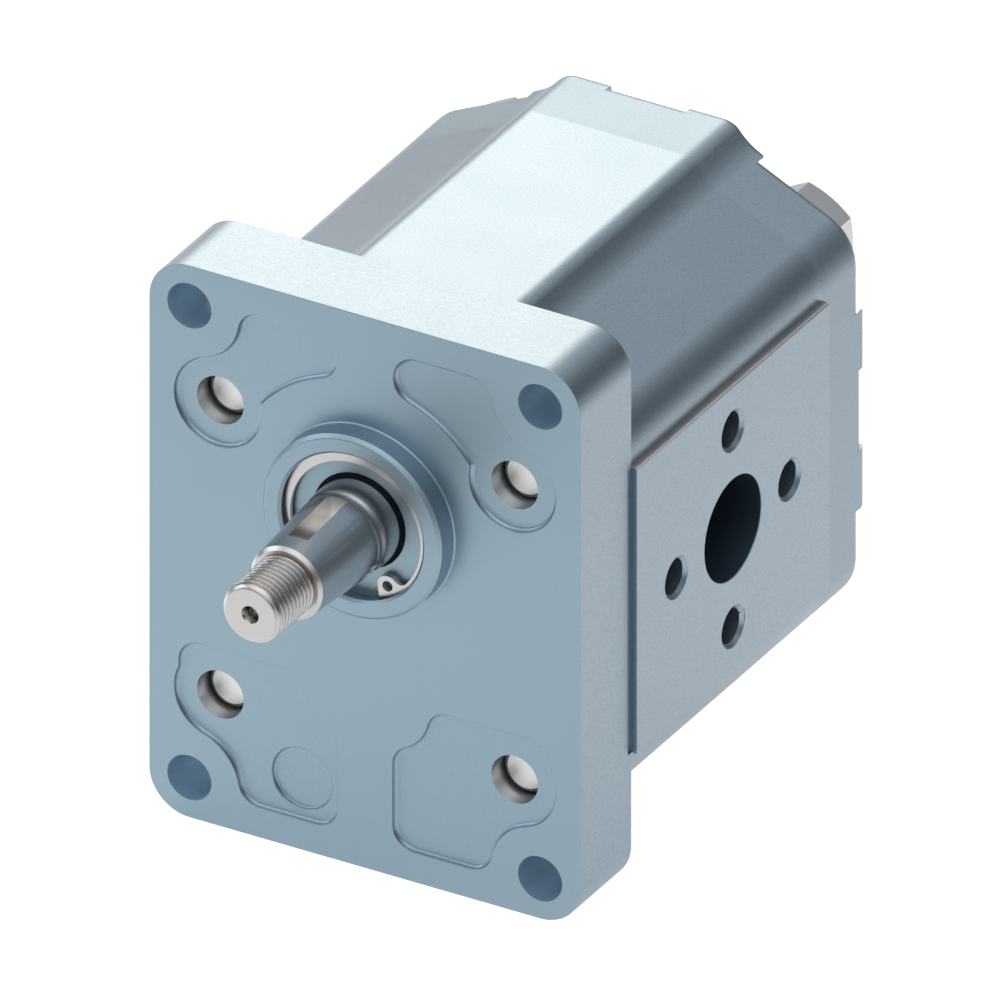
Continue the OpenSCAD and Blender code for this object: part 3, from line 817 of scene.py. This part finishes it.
class PUMP_OT_stage(bpy.types.Operator):
    """Makes the camera at the photograph's angle, the pale floor and the studio light"""

    bl_idname = "pump.stage"
    bl_label = "Stage"

    def execute(self, context):
        scene = context.scene
        scene.view_settings.view_transform = "Standard"
        right = Vector((0.8660254, 0.5, 0.0))
        up = Vector((-0.25, 0.4330127, 0.8660254))
        back = Vector((0.4330127, -0.75, 0.5))
        centre = (right * 23.88 + up * 2.77) * MM
        data = bpy.data.cameras.new("camera")
        data.type = "ORTHO"
        data.ortho_scale = 176.55 * MM
        data.clip_start, data.clip_end = 0.01, 10
        camera = bpy.data.objects.new("camera", data)
        scene.collection.objects.link(camera)
        camera.location = centre + back * 0.6
        camera.rotation_mode = "QUATERNION"
        camera.rotation_quaternion = (-back).to_track_quat("-Z", "Y")
        scene.camera = camera
        self.floor()
        self.world(scene)
        middle = (0.0, 0.05, -0.01)
        light("softbox_back", (-0.42, 0.72, 0.50), middle, (0.46, 0.46), 2.4, (1, 0.88, 0.76))
        light("softbox_left", (-0.75, -0.35, 0.35), middle, (0.5, 0.5), 1.5, (0.8, 0.93, 1))
        light("softbox_front", (0.1, -0.8, 0.6), middle, (1.3, 0.8), 2.0, (0.9, 0.97, 1))
        light("softbox_side", (-0.8, 0.45, 0.2), middle, (0.5, 0.5), 1.15, (1, 0.87, 0.86))
        return {"FINISHED"}

    def floor(self):
        """White to the camera. In mirrors it glows most near the pump and on its left."""
        bpy.ops.mesh.primitive_grid_add(
            x_subdivisions=4, y_subdivisions=4, size=6, location=(0, 0, FLOOR * MM - 0.0001)
        )
        floor = bpy.context.object
        floor.name = "floor"
        paint = bpy.data.materials.new("floor")
        paint.use_nodes = True
        tree = paint.node_tree
        shader = tree.nodes["Principled BSDF"]
        shader.inputs["Base Color"].default_value = (0.5, 0.5, 0.5, 1)
        shader.inputs["Roughness"].default_value = 1
        shader.inputs["Specular IOR Level"].default_value = 0
        path = tree.nodes.new("ShaderNodeLightPath")
        mirrored = math_node(
            tree, "MAXIMUM", path.outputs["Is Glossy Ray"], path.outputs["Is Transmission Ray"]
        )
        mirrored = math_node(tree, "MULTIPLY", mirrored, 0.715)
        seen = math_node(tree, "MULTIPLY", path.outputs["Is Camera Ray"], 0.93)
        spot = tree.nodes.new("ShaderNodeTexCoord").outputs["Object"]
        away = measure(tree, "DISTANCE", spot, (0, 0.05, 0))
        fall = map_range(tree, away, 0.22, 0.55, 1, 0.15)
        mirrored = math_node(tree, "MULTIPLY", mirrored, fall)
        leftwards = measure(tree, "DOT_PRODUCT", spot, (-0.9, 0.43, 0))
        lift = map_range(tree, leftwards, 0.09, 0.14, 1, 1.7)
        mirrored = math_node(tree, "MULTIPLY", mirrored, lift)
        glow = math_node(tree, "MAXIMUM", seen, mirrored)
        backwards = measure(tree, "DOT_PRODUCT", spot, (0.5, 0.866, 0))
        share = map_range(tree, backwards, -0.02, 0.09)
        at_camera = math_node(tree, "MULTIPLY", path.outputs["Is Camera Ray"], 2)
        tone = math_node(tree, "ADD", share, at_camera)
        tone = math_node(tree, "DIVIDE", tone, 3)
        stops = ((0, (0.73, 0.8, 0.82)), (0.333, (0.98, 0.89, 0.86)), (0.5, (1, 1, 1)))
        tree.links.new(colour_ramp(tree, tone, stops), shader.inputs["Emission Color"])
        tree.links.new(glow, shader.inputs["Emission Strength"])
        floor.data.materials.append(paint)

    def world(self, scene):
        """White to the camera. To everything else it is dark low down and bright above."""
        world = bpy.data.worlds.new("studio")
        scene.world = world
        world.use_nodes = True
        tree = world.node_tree
        background = tree.nodes["Background"]
        coords = tree.nodes.new("ShaderNodeTexCoord")
        split = tree.nodes.new("ShaderNodeSeparateXYZ")
        tree.links.new(coords.outputs["Generated"], split.inputs[0])
        greys = ((0.0, 0.12), (0.45, 0.11), (0.62, 0.34), (0.8, 0.78), (0.93, 1.45))
        stops = [(z, (grey, grey * 1.02, grey * 1.05)) for z, grey in greys]
        sky = colour_ramp(tree, split.outputs["Z"], stops)
        path = tree.nodes.new("ShaderNodeLightPath")
        mix = tree.nodes.new("ShaderNodeMix")
        mix.data_type = "RGBA"
        for socket in mix.inputs:
            if socket.name == "B" and socket.type == "RGBA":
                socket.default_value = (1, 1, 1, 1)
            if socket.name == "A" and socket.type == "RGBA":
                tree.links.new(sky, socket)
        tree.links.new(path.outputs["Is Camera Ray"], mix.inputs[0])
        for socket in mix.outputs:
            if socket.type == "RGBA":
                tree.links.new(socket, background.inputs["Color"])


# Pieces


class PUMP_OT_flange(bpy.types.Operator):
    """Rounds the flange's edges, its pockets and its pilot"""

    bl_idname = "pump.flange"
    bl_label = "Mounting flange"

    def execute(self, context):
        sizes = context.scene.pump_sizes
        obj = merged_copy("front_flange", "flange")
        half_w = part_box("front_flange")[1].x / MM
        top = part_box("front_flange")[1].z / MM

        def on_rim(p, y):
            return abs(p.y - y) < 0.02 and self.rim(p, half_w, top) < 0.03

        def on_pilot_foot(p):
            return abs(p.y) < 0.02 and abs(math.hypot(p.x, p.z) - PILOT_R) < 0.05

        round_edges(obj, sizes.flange_edge, lambda p: on_rim(p, 0), 2)
        round_edges(
            obj, sizes.flange_edge, lambda p: on_rim(p, FLANGE_BACK) and abs(p.x) > 24, 2
        )
        round_edges(obj, 0.4, on_pilot_foot)
        round_edges(obj, 0.2, lambda p: p.y < PILOT_FRONT + 0.6 and math.hypot(p.x, p.z) > 17)
        round_edges(
            obj,
            sizes.pocket_rim,
            lambda p: abs(p.y) < 0.02
            and math.hypot(p.x, p.z) > PILOT_R + 1
            and self.hole_distance(p) > 4.6
            and self.rim(p, half_w, top) > 2,
        )
        groove = PILOT_FRONT + 0.75
        disc = [(0, groove), (15.2, groove), (15.2, groove + 0.6), (0, groove + 0.6)]
        boolean(obj, turned_piece("groove", disc, 144), "DIFFERENCE")
        round_edges(
            obj,
            sizes.pocket_floor,
            lambda p: abs(p.y - POCKET_FLOOR) < 0.02
            and bolt_distance(p) > 4.9
            and self.recess_distance(p) > 6.4,
            4,
        )
        round_edges(
            obj, 0.35, lambda p: POCKET_FLOOR - 0.02 < p.y < 3 and self.recess_distance(p) < 6.2
        )
        finish_piece(obj, "housing", "flange_casting", material("casting"), "front_flange")
        paint_faces(
            obj, material("housing"), lambda p, n: self.rim(p, half_w, top) < 0.2 and p.y > 0.2
        )
        # The mounting holes' walls get the lighter colour as painted light
        paint_faces(obj, material("hole"), lambda p, n: p.y > 0.2 and self.hole_distance(p) < 4.7)
        paint_faces(
            obj,
            material("socket"),
            lambda p, n: p.y > POCKET_FLOOR + 0.1 and bolt_distance(p) < 5.8 and abs(n.y) < 0.5,
        )
        return {"FINISHED"}

    def rim(self, p, half_w, top):
        """Distance of a point from the flange's outer surface, inwards."""
        x = abs(p.x) - (half_w - CORNER_R)
        z = abs(p.z - MIDDLE) - (top - MIDDLE - CORNER_R)
        if x > 0 and z > 0:
            return CORNER_R - math.hypot(x, z)
        return CORNER_R - max(x, z)

    def hole_distance(self, p):
        """Distance of a point from the nearest mounting hole's axis."""
        return math.hypot(abs(p.x) - HOLE_X, abs(p.z - MIDDLE) - HOLE_Z)

    def recess_distance(self, p):
        """Distance of a point from the axis of the round recess in one pocket."""
        return math.hypot(p.x - RECESS_X, p.z - RECESS_Z)


class PUMP_OT_housing(bpy.types.Operator):
    """Rounds the edges of the gear housing's pads and ports"""

    bl_idname = "pump.housing"
    bl_label = "Gear housing"

    def execute(self, context):
        obj = merged_copy("gear_housing", "housing")
        round_edges(
            obj,
            0.3,
            lambda p: abs(abs(p.x) - PAD_FACE) < 0.02 and abs(abs(p.z - MIDDLE) - PAD_HALF) < 0.02,
            2,
        )
        round_edges(obj, 0.75, self.is_bolt_hole_mouth, 1)
        round_edges(obj, 0.25, self.is_port_mouth, 2)
        finish_piece(obj, "housing", "housing_extrusion", material("housing"), "gear_housing")
        # The pads' narrow top ledges get the bright steel colour: a painted highlight along the
        # pads' upper edges
        paint_faces(
            obj,
            material("bright"),
            lambda p, n: PAD_FOOT < abs(p.x) < PAD_FACE - 0.05
            and p.z - MIDDLE > PAD_HALF - 1
            and n.z > 0.3,
        )
        # The ports' walls get the near-black colour as painted shade
        paint_faces(obj, material("bore"), self.is_in_port)
        return {"FINISHED"}

    def port_distance(self, p):
        """Distance of a point from the ports' common axis."""
        return math.hypot(p.y - GEAR_MIDDLE, p.z - GEAR_MIDDLE_Z)

    def is_port_mouth(self, p):
        """On the edge of a port."""
        return abs(abs(p.x) - PAD_FACE) < 0.02 and self.port_distance(p) < PORT_R + 0.1

    def is_bolt_hole_mouth(self, p):
        """On the edge of one of the bolt holes round a port."""
        return abs(abs(p.x) - PAD_FACE) < 0.02 and 12 < self.port_distance(p) < 24

    def is_in_port(self, p, normal):
        """On the wall of a port."""
        return 19 < abs(p.x) < PAD_FACE - 0.3 and self.port_distance(p) < PORT_R - 0.01


class PUMP_OT_cover(bpy.types.Operator):
    """Gives each level of the rear cover's back its cast outer rounding"""

    bl_idname = "pump.cover"
    bl_label = "Rear cover"

    seat_r = 16.6

    def execute(self, context):
        radius = context.scene.pump_sizes.cover_edge
        obj = merged_copy("rear_cover", "cover")
        cut(obj, self.flared_seats())
        # The two channels' lips differ by a hair, so that no faces share a plane
        upright = [(x, y, -80) for x, y in self.flare(8.02, 1.22)]
        cut(obj, prism("flare", upright, (0, 0, 130)))
        crossing = [(-60, y, MIDDLE + x) for x, y in self.flare(8.03, 1.18)]
        cut(obj, prism("flare", crossing, (120, 0, 0)))
        for level, region in self.levels():
            shell = region(level - radius)
            cut(shell, self.rounded_plug(obj, level, radius))
            cut(obj, shell)
        finish_piece(obj, "housing", "cover_casting", material("cast_cover"), "rear_cover")
        return {"FINISHED"}

    def lip(self, x, r):
        """Rounding of radius r from a wall at x out over the level of the back."""
        steps = [math.radians(18 * i) for i in range(5)]
        curve = [(x + r - r * math.cos(a), COVER_BACK - r + r * math.sin(a)) for a in steps]
        return curve + [(x + r, COVER_BACK + 0.01), (x + r, COVER_BACK + 1)]

    def flare(self, x, r):
        """Outline over a channel of half width x with both its lips."""
        right = self.lip(x, r)
        return [(-a, y) for a, y in reversed(right)] + right

    def flared_seats(self):
        """Four bolt seats with rounded lips."""
        floor = COVER_BACK - SEAT_DEPTH - 0.05
        profile = [(0, floor), (self.seat_r, floor)] + self.lip(self.seat_r, 1.9)
        profile.append((0, COVER_BACK + 1))
        seats = []
        for x, z in bolt_axes():
            seats.append(turned_piece("seat", profile))
            seats[-1].location = Vector((x, 0, z)) * MM
        return self.joined(seats)

    def joined(self, pieces):
        """The pieces as one object with its origin at the world's."""
        activate(pieces[-1])
        for piece in pieces:
            piece.select_set(True)
        bpy.ops.object.join()
        bpy.ops.object.transform_apply(location=True, rotation=True, scale=True)
        return bpy.context.object

    def levels(self):
        """Height of each level of the back with the space over it as a function."""
        wall = 0.05
        channel = 8 + wall
        low, high = MIDDLE - channel, MIDDLE + channel
        top = COVER_BACK + 1
        return (
            (COVER_BACK, lambda y: block("cut", (-60, y, -80), (60, top, 50))),
            (
                COVER_BACK - CHANNEL_DEPTH,
                lambda y: block("cut", (-60, y, low), (60, top, high)),
            ),
            (
                COVER_BACK - CHANNEL_DEPTH,
                lambda y: block("cut", (-channel, y, -80), (channel, top, 50)),
            ),
            (COVER_BACK - SEAT_DEPTH, lambda y: self.seats(y, self.seat_r + wall)),
        )

    def seats(self, y, radius):
        """Four cylinders from y up to the floors of the bolt seats."""
        top = COVER_BACK - SEAT_DEPTH - 0.02
        cylinders = []
        for x, z in bolt_axes():
            bpy.ops.object.select_all(action="DESELECT")
            bpy.ops.mesh.primitive_cylinder_add(
                vertices=96,
                radius=radius * MM,
                depth=(top - y) * MM,
                location=Vector((x, (top + y) / 2, z)) * MM,
                rotation=(math.pi / 2, 0, 0),
            )
            cylinders.append(bpy.context.object)
        return self.joined(cylinders)

    def rounded_plug(self, cover, level, radius):
        """A block with the cover's outline that ends at level with a rounded edge."""
        obj = bpy.data.objects.new("plug", cover.data.copy())
        bpy.context.scene.collection.objects.link(obj)
        activate(obj)
        bpy.ops.object.mode_set(mode="EDIT")
        bpy.ops.mesh.select_mode(type="EDGE")
        bpy.ops.mesh.select_all(action="DESELECT")
        mesh = bmesh.from_edit_mesh(obj.data)
        rims = [
            edge
            for edge in mesh.edges
            if all(abs(v.co.y / MM - HOUSING_BACK) < 0.01 for v in edge.verts)
            and any(abs(f.normal.y) < 0.5 for f in edge.link_faces)
        ]
        for edge in longest_loop(rims):
            edge.select = True
        bmesh.update_edit_mesh(obj.data)
        bpy.ops.mesh.duplicate()
        bpy.ops.mesh.select_all(action="INVERT")
        bpy.ops.mesh.delete(type="VERT")
        bpy.ops.mesh.select_all(action="SELECT")
        bpy.ops.mesh.edge_face_add()
        bpy.ops.mesh.extrude_region_move(
            TRANSFORM_OT_translate={"value": (0, (level - HOUSING_BACK) * MM, 0)}
        )
        bpy.ops.mesh.select_all(action="SELECT")
        bpy.ops.mesh.normals_make_consistent(inside=False)
        bpy.ops.object.mode_set(mode="OBJECT")
        round_edges(obj, radius, lambda p: p.y > level - 0.01, 6, convex=True)
        # Drawn in by a hair, so that it shares no wall with the cover
        for vertex in obj.data.vertices:
            vertex.co.x *= 0.9998
            vertex.co.z += (MIDDLE * MM - vertex.co.z) * 0.0002
        return obj


class PUMP_OT_shaft(bpy.types.Operator):
    """Cuts the thread on the shaft's end and finishes shaft and gears"""

    bl_idname = "pump.shaft"
    bl_label = "Shafts and gears"

    collar = SHAFT_END + 12.4
    thread_r = 6.0
    root_r = 5.25
    taper_y = collar + 0.64
    taper_start_r = 7.33
    journal_r = 8.75
    taper = 16

    def execute(self, context):
        obj = merged_copy("drive_gear_shaft", "drive_shaft")
        self.remove_stub(obj)
        self.cut_relief(obj)
        finish_piece(obj, "drive_gear", "gear_steel", material("shaft"), "drive_gear_shaft")
        paint_faces(obj, material("bright"), lambda p, n: self.is_bright(p))
        paint_faces(obj, material("keyway"), lambda p, n: self.in_keyway(p))
        stub = self.stub(context.scene.pump_sizes.thread_pitch)
        finish_piece(stub, "drive_gear", "gear_steel", material("bright"))
        paint_faces(
            stub, material("thread"), lambda p, n: p.y > SHAFT_END + 0.6 and abs(n.y) < 0.9
        )
        obj = merged_copy("driven_gear_shaft", "driven_shaft")
        finish_piece(obj, "driven_gear", "gear_steel", material("shaft"), "driven_gear_shaft")
        return {"FINISHED"}

    def is_bright(self, p):
        """The collar's face and rim."""
        return p.y < self.collar + 0.7

    def in_keyway(self, p):
        """On the floor or a wall of the keyway."""
        if abs(p.x) > 2.01 or p.z < 0 or not -26 < p.y < -8:
            return False
        return math.hypot(p.x, p.z) < self.taper_r(p.y) - 0.4

    def taper_r(self, y):
        """Radius of the taper at y."""
        return self.taper_start_r + (y - self.taper_y) / self.taper

    def cut_relief(self, obj):
        """Turns the grinding relief where the taper runs out to the journal."""
        last = self.taper_y + (self.journal_r - self.taper_start_r) * self.taper
        start = last - 5.5
        profile = [(0, -60), (30, -60), (30, start - 0.05)]
        for i in range(13):
            share = (1 - math.cos(math.pi * i / 12)) / 2
            y = start + i * 0.13
            profile.append((self.taper_r(y) + 0.01 - share * 0.32, y))
        foot = profile[-1][0]
        shoulder = self.taper_r(y + 2.08) + 0.01
        for i in range(1, 17):
            share = (1 - math.cos(math.pi * i / 16)) / 2
            profile.append((foot + share * (shoulder - foot), y + i * 0.13))
        profile += [(30, y + 2.2), (30, 120), (0, 120)]
        boolean(obj, turned_piece("room", profile, 144), "INTERSECT")

    def remove_stub(self, obj):
        """Takes the plain stub off at the collar and closes the collar's face."""
        activate(obj)
        bpy.ops.object.mode_set(mode="EDIT")
        bpy.ops.mesh.select_mode(type="VERT")
        bpy.ops.mesh.select_all(action="DESELECT")
        mesh = bmesh.from_edit_mesh(obj.data)
        for vertex in mesh.verts:
            p = place(vertex)
            vertex.select = p.y < self.collar - 0.01 or (
                p.y < self.collar + 0.01 and math.hypot(p.x, p.z) < self.root_r + 0.1
            )
        mesh.select_flush(True)
        faces = [f for f in mesh.faces if all(v.select for v in f.verts)]
        bmesh.ops.delete(mesh, geom=faces, context="FACES")
        bmesh.update_edit_mesh(obj.data)
        bpy.ops.mesh.select_all(action="DESELECT")
        bpy.ops.mesh.select_non_manifold()
        bpy.ops.mesh.fill()
        bpy.ops.object.mode_set(mode="OBJECT")

    def stub(self, pitch):
        """The stub with its centre hole, rounded end and thread."""
        per_pitch = 16
        end, last = SHAFT_END, self.collar + 0.2
        rings = round((last - end) / pitch * per_pitch)
        profile = [(0, end + 3.25), (1, end + 2.6), (1, end + 1.3), (1.75, end), (4.6, end)]
        heights = [end + 0.01 * i * i for i in range(8)]
        first = heights[-1]
        heights += [first + (last - first) * i / rings for i in range(1, rings + 1)]
        profile += [(self.body_radius(y), y) for y in heights]
        profile += [(self.root_r, self.collar + 0.4), (0, self.collar + 0.4)]
        obj = turned_piece("shaft_thread", profile)
        for vertex in obj.data.vertices:
            p = place(vertex)
            r = math.hypot(p.x, p.z)
            if r > 4.9 and end < p.y <= last:
                turn = math.atan2(p.x, p.z) / (2 * math.pi)
                wanted = min(r, self.thread_radius(p.y, turn, pitch))
                vertex.co.x *= wanted / r
                vertex.co.z *= wanted / r
        return obj

    def body_radius(self, y):
        """Radius of the stub without its thread, with its rounded end."""
        left = max(0, 1 - (y - SHAFT_END))
        return self.thread_r - 0.5 - left / 2 + math.sqrt(1 - left * left) / 2

    def thread_radius(self, y, turn, pitch):
        """Radius of the right-hand thread at y and at that share of a turn."""
        share = (1 - math.cos(2 * math.pi * (y / pitch - turn))) / 2
        share = share * share * (3 - 2 * share)
        return self.thread_r - share * (self.thread_r - self.root_r)


class PUMP_OT_fasteners(bpy.types.Operator):
    """Finishes the tie bolts and the retaining ring"""

    bl_idname = "pump.fasteners"
    bl_label = "Bolts and retaining ring"

    def execute(self, context):
        obj = merged_copy("tie_bolts", "bolts")
        finish_piece(obj, "housing", "bolt_steel", material("bolt"), "tie_bolts", sharp=14)
        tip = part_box("tie_bolts")[0].y / MM
        # The rounded edge of each bolt's tip gets the dark liner colour as painted shade
        paint_faces(obj, material("liner"), lambda p, n: p.y < tip + 1 and abs(n.y) < 0.97)
        paint_faces(obj, material("socket"), lambda p, n: p.y > COVER_BACK - 2.4)
        obj = merged_copy("retaining_ring", "circlip")
        for vertex in obj.data.vertices:
            if vertex.co.y / MM < PILOT_FRONT + 1.4:
                vertex.co.y += 0.3 * MM
        round_edges(obj, 0.12, lambda p: True, 2, 50)
        finish_piece(obj, "housing", "ring_steel", material("bright"), "retaining_ring")
        return {"FINISHED"}


class PUMP_OT_inner(bpy.types.Operator):
    """Gives the pieces inside the pump their finishes"""

    bl_idname = "pump.inner"
    bl_label = "Inner pieces"

    finish_of = {
        "front_bushing_block": "block",
        "rear_bushing_block": "block",
        "front_drive_bearing": "liner",
        "front_driven_bearing": "liner",
        "rear_drive_bearing": "liner",
        "rear_driven_bearing": "liner",
        "front_body_seal": "rubber",
        "rear_body_seal": "rubber",
        "front_thrust_seal": "rubber",
        "rear_thrust_seal": "rubber",
        "front_thrust_backup": "backup",
        "rear_thrust_backup": "backup",
        "shaft_seal_case": "seal_case",
        "shaft_seal_lip": "rubber",
        "shaft_seal_spring": "bright",
        "front_dowels": "bright",
        "rear_dowels": "bright",
    }

    def execute(self, context):
        for node, name in self.finish_of.items():
            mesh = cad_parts[node].data
            mesh.materials.clear()
            mesh.materials.append(material(name))
        return {"FINISHED"}


class PUMP_PT_panel(bpy.types.Panel):
    """Lists the pump's steps, sizes and colours"""

    bl_label = "Gear Pump"
    bl_idname = "PUMP_PT_panel"
    bl_space_type = "VIEW_3D"
    bl_region_type = "UI"
    bl_category = "Gear Pump"

    def draw(self, context):
        for step in STEPS:
            self.layout.operator(step.bl_idname)
        for group in (context.scene.pump_sizes, context.scene.pump_finishes):
            for name in group.bl_rna.properties.keys():
                if name not in ("rna_type", "name"):
                    self.layout.prop(group, name)


STEPS = (
    PUMP_OT_stage,
    PUMP_OT_flange,
    PUMP_OT_housing,
    PUMP_OT_cover,
    PUMP_OT_shaft,
    PUMP_OT_fasteners,
    PUMP_OT_inner,
)
CLASSES = (PumpSizes, PumpFinishes, *STEPS, PUMP_PT_panel)


def register():
    for cls in CLASSES:
        bpy.utils.register_class(cls)
    bpy.types.Scene.pump_sizes = bpy.props.PointerProperty(type=PumpSizes)
    bpy.types.Scene.pump_finishes = bpy.props.PointerProperty(type=PumpFinishes)


def unregister():
    del bpy.types.Scene.pump_finishes
    del bpy.types.Scene.pump_sizes
    for cls in reversed(CLASSES):
        bpy.utils.unregister_class(cls)


def main():
    register()
    for step in STEPS:
        group, name = step.bl_idname.split(".")
        getattr(getattr(bpy.ops, group), name)()


if __name__ == "__main__":
    main()
